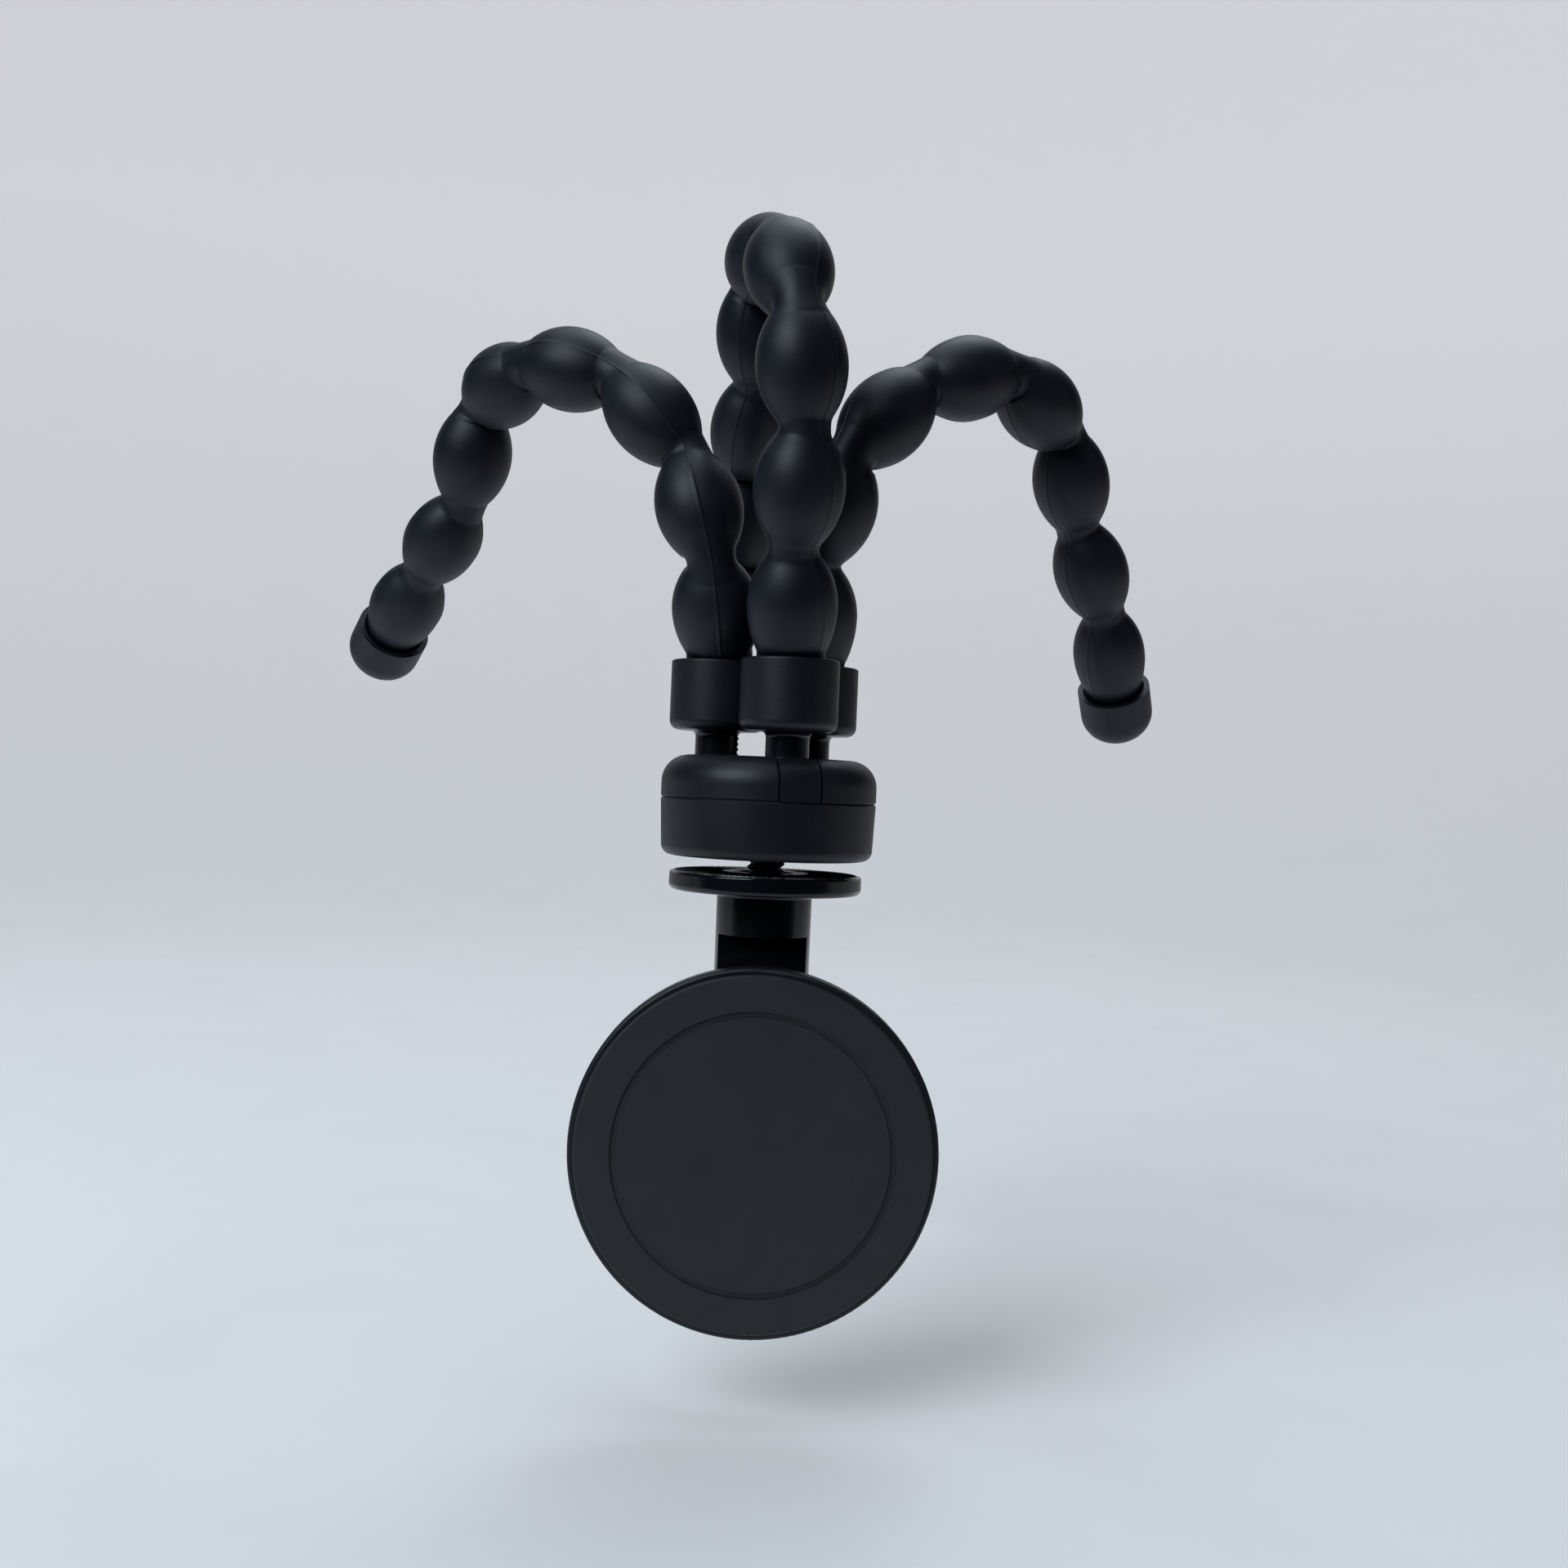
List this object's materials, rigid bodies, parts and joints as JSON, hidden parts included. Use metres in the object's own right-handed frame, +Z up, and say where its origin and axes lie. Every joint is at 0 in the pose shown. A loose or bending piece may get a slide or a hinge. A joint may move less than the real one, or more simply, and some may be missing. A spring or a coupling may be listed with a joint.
{
  "type": "flexible phone tripod",
  "caption": "Flexible phone tripod with bubble legs wrapped over a bar, a round hub, and a tilting magnetic phone mount screwed under it.",
  "frame": {"origin": "on the axis of the bar that the legs are wrapped over, above and behind the hub", "axes": "+X along the bar, +Z up along the hub's axis, -Y out of the face that the phone is held on"},
  "size_m": [0.1593, 0.0936, 0.1784],
  "materials": {
    "leg_rubber": "matt",
    "shell": "satin",
    "gloss_shell": "gloss",
    "pad": "matt, ribbed",
    "core": "plain",
    "steel": "blackened",
    "brass": "turned",
    "magnet": "plated"
  },
  "bodies": {
    "hub": {"hub_cap": "shell", "hub_base": "shell", "hub_screw": "steel", "shell_screws": "steel", "front_leg_socket": "shell", "right_leg_socket": "shell", "left_leg_socket": "shell"},
    "front_leg": {"front_leg_sleeve": "leg_rubber", "front_leg_core": "core", "front_leg_foot": "leg_rubber"},
    "right_leg": {"right_leg_sleeve": "leg_rubber", "right_leg_core": "core", "right_leg_foot": "leg_rubber"},
    "left_leg": {"left_leg_sleeve": "leg_rubber", "left_leg_core": "core", "left_leg_foot": "leg_rubber"},
    "mount": {"mount_base": "gloss_shell", "thread_insert": "brass", "grip_pad": "pad"},
    "head_bracket": {"tilt_bracket": "shell", "tilt_bolt": "steel", "tilt_nut": "steel", "friction_washers": "steel", "spin_rivet": "steel"},
    "head": {"head_housing": "shell", "magnets": "magnet", "shield_ring": "steel", "face_pad": "pad"}
  },
  "joints": [
    {"name": "front_leg_bend", "type": "hinge", "parent": "hub", "child": "front_leg", "pos_m": [0.00272, -0.01989, -0.03231], "axis": [0.9563, 0.2924, 0], "range_deg": [0, 40], "deforming": ["front_leg_sleeve", "front_leg_core"]},
    {"name": "right_leg_bend", "type": "hinge", "parent": "hub", "child": "right_leg", "pos_m": [0.00634, -0.0042, -0.03263], "axis": [-0.7314, 0.682, 0], "range_deg": [0, 40], "deforming": ["right_leg_sleeve", "right_leg_core"]},
    {"name": "left_leg_bend", "type": "hinge", "parent": "hub", "child": "left_leg", "pos_m": [-0.00906, -0.00891, -0.03182], "axis": [-0.225, -0.9744, 0], "range_deg": [0, 40], "deforming": ["left_leg_sleeve", "left_leg_core"]},
    {"name": "mount_pan", "type": "hinge", "parent": "hub", "child": "mount", "pos_m": [0, -0.011, -0.068], "axis": [0, 0, 1], "range_deg": [-180, 180]},
    {"name": "head_tilt", "type": "hinge", "parent": "mount", "child": "head_bracket", "pos_m": [0, -0.011, -0.11], "axis": [1, 0, 0], "range_deg": [-10, 90]},
    {"name": "head_spin", "type": "hinge", "parent": "head_bracket", "child": "head", "pos_m": [0, -0.0203, -0.11], "axis": [0, -1, 0], "continuous": true}
  ]
}
